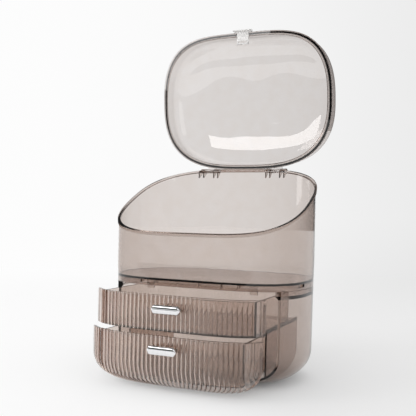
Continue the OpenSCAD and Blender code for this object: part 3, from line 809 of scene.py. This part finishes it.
# handles ---------------------------------------------------------------------
def build_handle(name, z, shift):
    yb = -hd(z, 0) - shift
    L, H = 39.0, 11.0
    stations = []
    xs = [0, 0.5, 1.2, 2.0, 2.8, 3.4, 4.2]
    full = [(-L / 2 + x) for x in xs] + [-8, 0, 8] + [(L / 2 - x) for x in reversed(xs)]
    n = 40
    rings = []
    for x in full:
        d = L / 2 - abs(x)
        f = min(1.0, d / 3.2)
        e = max(0.0, 1 - d / 0.5) * 0.25
        hh = 1.3 + (H / 2 - 1.3) * (f ** 0.9) - e
        dd = 0.9 + 1.75 * f - e * 0.5
        pts = []
        for i in range(n):
            t = 2 * math.pi * i / n
            cy, sz = math.cos(t), math.sin(t)
            # front is a flattened half round, back is nearly flat
            depth = dd * (1.18 if cy > 0 else 0.78)
            pts.append((x, yb - 5.6 - depth * math.copysign(abs(cy) ** (0.95 if cy > 0 else 0.45), cy), z + hh * math.copysign(abs(sz) ** 0.82, sz)))
        rings.append(pts)
    ob = make(name, *loft(rings))
    fix_normals(ob)
    for s in (-1, 1):
        prof = [(yb - 5.0, 2.7), (yb - 0.5, 2.7), (yb - 0.2, 2.6), (yb - 0.1, 2.4)]
        m = 32
        c = loft([[(s * POST + r * math.cos(2 * math.pi * i / m), y, z + r * math.sin(2 * math.pi * i / m)) for i in range(m)] for y, r in prof])
        boolean(ob, make("post", *c), "UNION")
    holes_r = 1.31
    for s in (-1, 1):
        m = 24
        c = loft([[(s * POST + holes_r * math.cos(2 * math.pi * i / m), y, z + holes_r * math.sin(2 * math.pi * i / m)) for i in range(m)] for y in (yb - 5, yb + 3)])
        boolean(ob, make("bore", *c), "DIFFERENCE")
    return clean(ob, CHROME, 38, 0.0)


place(build_handle("upper_bar_handle", 101, UP_OUT), "upper_drawer", "handle_chrome", "upper_drawer_handle")
place(build_handle("lower_bar_handle", 54, LO_OUT), "lower_drawer", "handle_chrome", "lower_drawer_handle")


def build_screws(name, z, shift):
    yb = -hd(z, 0) - shift
    ob = None
    m = 32
    for s in (-1, 1):
        prof = [(yb - 4.8, 0.9), (yb - 4.4, 1.3)]
        y = yb - 4.2
        while y < yb + FW + 0.9:
            prof += [(y, 1.3), (y + 0.25, 1.12), (y + 0.5, 1.3)]
            y += 0.6
        h = yb + FW + 2.45
        prof += [(h, 1.3), (h, 2.6), (h + 0.15, 2.7), (h + 0.75, 2.66), (h + 1.25, 2.3), (h + 1.55, 1.6), (h + 1.67, 0.6)]
        c = make("screw", *loft([[(s * POST + r * math.cos(2 * math.pi * i / m), q, z + r * math.sin(2 * math.pi * i / m)) for i in range(m)] for q, r in prof]))
        fix_normals(c)
        for w, q in ((1.5, 0.28), (0.28, 1.5)):
            boolean(c, make("recess", *brick(s * POST - w, s * POST + w, yb + FW + 3.3, yb + 9, z - q, z + q)), "DIFFERENCE")
        if ob is None:
            ob = c
            ob.name = name
        else:
            boolean(ob, c, "UNION")
    return clean(ob, STEEL, 35, 0.0)


place(build_screws("upper_screws", 101, UP_OUT), "upper_drawer", "steel_pin", "upper_handle_screws")
place(build_screws("lower_screws", 54, LO_OUT), "lower_drawer", "steel_pin", "lower_handle_screws")


# pins and feet ---------------------------------------------------------------
for side, s in (("left", -1), ("right", 1)):
    x0, x1 = (38.2, 69.8) if s > 0 else (-69.8, -38.2)
    pin = make("pin_" + side, *tube_x(HINGE[0], HINGE[1], 1.5, x0, x1, n=40, edge=0.4), STEEL, 35)
    place(pin, "cabinet", "steel_pin", "hinge_pin_" + side)

for name, x, y in (("front_left", -70, -40), ("front_right", 70, -40), ("rear_left", -70, 38), ("rear_right", 70, 38)):
    m = 48
    prof = [(0.0, 1.6), (0.0, 2.2), (0.35, 2.5), (0.35, 3.6), (0.0, 3.9), (0.0, 4.6), (0.35, 4.9), (0.35, 5.6), (0.0, 5.9), (0.0, 6.9), (0.15, 7.3), (0.5, 7.5), (2.0, 7.5), (2.3, 7.3), (2.4, 6.9), (2.4, 6.0), (3.0, 6.0)]
    ob = make("pad_" + name, *loft([[(x + r * math.cos(2 * math.pi * i / m), y + r * math.sin(2 * math.pi * i / m), z) for i in range(m)] for z, r in prof]), RUBBER, 40)
    fix_normals(ob)
    place(ob, "cabinet", "rubber_foot", "foot_" + name)


# ---------------------------------------------------------------- studio
SIDE = (math.cos(math.radians(23.62)), math.sin(math.radians(23.62)), 0.0)


def backdrop_light(nt, vector, far=False):
    """Brightness of the paper backdrop by compass direction, brightest on the left of the picture."""
    n = nt.nodes.new("ShaderNodeVectorMath")
    n.operation = "NORMALIZE"
    nt.links.new(vector, n.inputs[0])
    d = nt.nodes.new("ShaderNodeVectorMath")
    d.operation = "DOT_PRODUCT"
    d.inputs[1].default_value = SIDE
    nt.links.new(n.outputs["Vector"], d.inputs[0])
    r = nt.nodes.new("ShaderNodeValToRGB")
    r.color_ramp.interpolation = "B_SPLINE"
    stops = [(0.0, 0.98), (0.36, 0.985), (0.5, 0.95), (0.60, 0.865), (0.72, 0.79), (1.0, 0.80)]
    r.color_ramp.elements[0].position, r.color_ramp.elements[1].position = stops[0][0], stops[-1][0]
    for q, _ in stops[1:-1]:
        r.color_ramp.elements.new(q)
    for e, (_, v) in zip(r.color_ramp.elements, stops):
        e.color = (v, v, v, 1)
    m = nt.nodes.new("ShaderNodeMapRange")
    m.inputs["From Min"].default_value = -1
    m.inputs["From Max"].default_value = 1
    nt.links.new(d.outputs["Value"], m.inputs["Value"])
    nt.links.new(m.outputs["Result"], r.inputs["Fac"])
    return r.outputs["Color"]


def floor_material():
    """Matt white paper mixed with a glow in the backdrop's colours, which blends the floor into the backdrop further
    out; near the object the glow is painted light that lifts the shadows.
    """
    m, nt, p, out, tc = new_mat("paper_floor")
    g = noise(nt, tc, 3.0, 4.0, 0.6)
    c = ramp(nt, g.outputs["Fac"], 0.2, 0.8, (FLOOR_TONE,) * 3, (FLOOR_TONE + 0.01,) * 3)
    nt.links.new(c.outputs["Color"], p.inputs["Base Color"])
    p.inputs["Roughness"].default_value = 0.9
    p.inputs["Specular IOR Level"].default_value = 0.1
    e = nt.nodes.new("ShaderNodeEmission")
    nt.links.new(backdrop_light(nt, tc.outputs["Object"]), e.inputs["Color"])
    ln = nt.nodes.new("ShaderNodeVectorMath")
    ln.operation = "LENGTH"
    nt.links.new(tc.outputs["Object"], ln.inputs[0])
    # painted light: the glow's share is 0.55 near the object, rising to full glow far out
    f = nt.nodes.new("ShaderNodeMapRange")
    f.interpolation_type = "SMOOTHSTEP"
    f.inputs["From Min"].default_value = 0.45
    f.inputs["From Max"].default_value = 1.6
    f.inputs["To Min"].default_value = 0.55
    nt.links.new(ln.outputs["Value"], f.inputs["Value"])
    # painted shadow: much less of the painted glow under the object's footprint, so the floor is darker there
    sh = nt.nodes.new("ShaderNodeVectorMath")
    sh.operation = "MULTIPLY_ADD"
    sh.inputs[1].default_value = (0.75, 1.0, 0.0)
    sh.inputs[2].default_value = (0.0, 0.02, 0.0)
    nt.links.new(tc.outputs["Object"], sh.inputs[0])
    sl = nt.nodes.new("ShaderNodeVectorMath")
    sl.operation = "LENGTH"
    nt.links.new(sh.outputs["Vector"], sl.inputs[0])
    under = to_range(nt, sl.outputs["Value"], 0.15, 1.0, 0.06, 0.12)
    painted_glow_mix = nt.nodes.new("ShaderNodeMath")
    painted_glow_mix.operation = "MULTIPLY"
    nt.links.new(f.outputs["Result"], painted_glow_mix.inputs[0])
    nt.links.new(under.outputs["Result"], painted_glow_mix.inputs[1])
    mix = nt.nodes.new("ShaderNodeMixShader")
    nt.links.new(painted_glow_mix.outputs["Value"], mix.inputs["Fac"])
    nt.links.new(p.outputs["BSDF"], mix.inputs[1])
    nt.links.new(e.outputs["Emission"], mix.inputs[2])
    nt.links.new(mix.outputs["Shader"], out.inputs["Surface"])
    return m


FLOOR_TONE = 0.86


def build_floor():
    n, radii = 96, [0.25, 0.5, 0.8, 1.2, 1.8, 3, 6, 12, 30]
    verts, faces = [(0, 0, 0)], []
    for r in radii:
        verts += [(r * math.cos(2 * math.pi * i / n), r * math.sin(2 * math.pi * i / n), 0) for i in range(n)]
    faces += [(0, 1 + i, 1 + (i + 1) % n) for i in range(n)]
    for k in range(len(radii) - 1):
        a, b = 1 + k * n, 1 + (k + 1) * n
        faces += [(a + i, b + i, b + (i + 1) % n, a + (i + 1) % n) for i in range(n)]
    me = bpy.data.meshes.new("floor")
    me.from_pydata(verts, [], faces)
    me.materials.append(floor_material())
    ob = bpy.data.objects.new("floor", me)
    bpy.context.scene.collection.objects.link(ob)


build_floor()


def reflected_only(ob):
    """The camera and the paper don't see it, only the plastic and the metal do."""
    ob.visible_camera = ob.visible_diffuse = ob.visible_shadow = ob.visible_volume_scatter = False
    bpy.context.scene.collection.objects.link(ob)


def build_room(name, tone, mirrored):
    """The unlit room beside and behind the camera, blending into the lit backdrop."""
    m, nt, p, out, tc = new_mat(name)
    n = nt.nodes.new("ShaderNodeVectorMath")
    n.operation = "NORMALIZE"
    nt.links.new(tc.outputs["Object"], n.inputs[0])
    d = nt.nodes.new("ShaderNodeVectorMath")
    d.operation = "DOT_PRODUCT"
    d.inputs[1].default_value = (-SIDE[1], SIDE[0], 0.0)
    nt.links.new(n.outputs["Vector"], d.inputs[0])
    r = nt.nodes.new("ShaderNodeMapRange")
    r.interpolation_type = "SMOOTHSTEP"
    r.inputs["From Min"].default_value = 0.85
    r.inputs["From Max"].default_value = 0.955
    nt.links.new(d.outputs["Value"], r.inputs["Value"])
    g = noise(nt, tc, 0.4)
    dark = ramp(nt, g.outputs["Fac"], 0.3, 0.7, (tone * 0.9,) * 3, (tone * 1.1,) * 3)
    mix = nt.nodes.new("ShaderNodeMix")
    mix.data_type = "RGBA"
    nt.links.new(r.outputs["Result"], mix.inputs["Factor"])
    nt.links.new(dark.outputs["Color"], mix.inputs["A"])
    nt.links.new(backdrop_light(nt, tc.outputs["Object"]), mix.inputs["B"])
    e = nt.nodes.new("ShaderNodeEmission")
    nt.links.new(mix.outputs["Result"], e.inputs["Color"])
    nt.links.new(e.outputs["Emission"], out.inputs["Surface"])
    k, rad = 72, 8.0
    verts = [(rad * math.cos(2 * math.pi * i / k) * math.cos(math.radians(q)), rad * math.sin(2 * math.pi * i / k) * math.cos(math.radians(q)), rad * math.sin(math.radians(q)) + 0.002)
             for q in range(0, 90, 6) for i in range(k)] + [(0, 0, rad)]
    rows = len(range(0, 90, 6))
    faces = [(a * k + i, a * k + (i + 1) % k, (a + 1) * k + (i + 1) % k, (a + 1) * k + i) for a in range(rows - 1) for i in range(k)]
    faces += [((rows - 1) * k + i, (rows - 1) * k + (i + 1) % k, rows * k) for i in range(k)]
    me = bpy.data.meshes.new(name)
    me.from_pydata(verts, [], faces)
    me.materials.append(m)
    ob = bpy.data.objects.new(name, me)
    reflected_only(ob)
    if mirrored:
        ob.visible_transmission = False
    else:
        ob.visible_glossy = False


build_room("room_mirrored", 0.10, True)
build_room("room_refracted", 0.47, False)


def card(name, corners, light):
    """Flat panel for the reflections to show."""
    m, nt, p, out, tc = new_mat(name)
    g = noise(nt, tc, 2.0)
    c = ramp(nt, g.outputs["Fac"], 0.3, 0.7, (0.97, 0.97, 0.97), (1, 1, 1))
    e = nt.nodes.new("ShaderNodeEmission")
    e.inputs["Strength"].default_value = light
    nt.links.new(c.outputs["Color"], e.inputs["Color"])
    nt.links.new(e.outputs["Emission"], out.inputs["Surface"])
    me = bpy.data.meshes.new(name)
    me.from_pydata(corners, [], [tuple(range(len(corners)))])
    me.materials.append(m)
    reflected_only(bpy.data.objects.new(name, me))


card("panel_left", [(-0.262, -0.81, 0.485), (-0.40, -0.7455, 0.47), (-0.50, -0.6988, 0.425), (-0.69, -0.61, 0.425), (-0.69, -0.61, 0.70), (-0.262, -0.81, 0.76)], 4.0)
card("table_shade", [(-0.46 + 0.80 * math.cos(2 * math.pi * i / 40), -1.12 + 0.36 * math.sin(2 * math.pi * i / 40), 0.004) for i in range(40)], 0.22)
card("panel_side", [(-1.10, -0.45, 0.25), (-1.18, -0.15, 0.25), (-1.18, -0.15, 1.1), (-1.10, -0.45, 1.1)], 2.0)
card("panel_right", [(1.10, -1.45, 0.40), (1.10, -0.35, 0.40), (1.10, -0.35, 1.15), (1.10, -1.45, 1.15)], 1.1)


def softbox(name, pos, target, w, h, radiance, colour=(1, 1, 1)):
    li = bpy.data.lights.new(name, "AREA")
    li.shape = "RECTANGLE"
    li.size, li.size_y = w, h
    li.energy = radiance * math.pi * w * h
    li.color = colour
    ob = bpy.data.objects.new(name, li)
    ob.location = pos
    ob.rotation_euler = (Vector(target) - Vector(pos)).to_track_quat("-Z", "Y").to_euler()
    ob.visible_camera = ob.visible_glossy = False
    bpy.context.scene.collection.objects.link(ob)
    return ob


softbox("key", (-1.6, -1.4, 1.3), (0.0, 0.0, 0.2), 0.9, 0.9, 5.0)
softbox("top", (0.1, -0.1, 1.9), (0.0, 0.0, 0.0), 1.4, 1.0, 1.0)

world = bpy.data.worlds.new("studio")
bpy.context.scene.world = world
world.use_nodes = True
wt = world.node_tree
wc = wt.nodes.new("ShaderNodeTexCoord")
wt.links.new(backdrop_light(wt, wc.outputs["Generated"]), wt.nodes["Background"].inputs["Color"])
wt.nodes["Background"].inputs["Strength"].default_value = 1.0


def camera():
    cam = bpy.data.cameras.new("camera")
    ob = bpy.data.objects.new("camera", cam)
    bpy.context.scene.collection.objects.link(ob)
    yaw, pitch, roll = math.radians(23.62), math.radians(0.447), math.radians(1.263)
    fwd = Vector((-math.sin(yaw) * math.cos(pitch), math.cos(yaw) * math.cos(pitch), math.sin(pitch)))
    right = Vector((math.cos(yaw), math.sin(yaw), 0))
    up = right.cross(fwd)
    r2 = right * math.cos(roll) + up * math.sin(roll)
    u2 = -right * math.sin(roll) + up * math.cos(roll)
    m = Matrix((r2, u2, -fwd)).transposed().to_4x4()
    m.translation = Vector((0.3690, -0.8324, 0.2183))
    ob.matrix_world = m
    cam.sensor_width = 36.0
    cam.lens = 655.25 / 416 * 36.0
    cam.shift_x, cam.shift_y = -12.18 / 416, -0.65 / 416
    cam.clip_start, cam.clip_end = 0.01, 50
    cam.dof.use_dof = False
    bpy.context.scene.camera = ob


camera()

sc = bpy.context.scene
sc.view_settings.view_transform = "Standard"
sc.view_settings.look = "None"
sc.cycles.max_bounces = 40
sc.cycles.transmission_bounces = 36
sc.cycles.glossy_bounces = 12
sc.cycles.diffuse_bounces = 4
sc.cycles.transparent_max_bounces = 24
sc.cycles.use_denoising = True
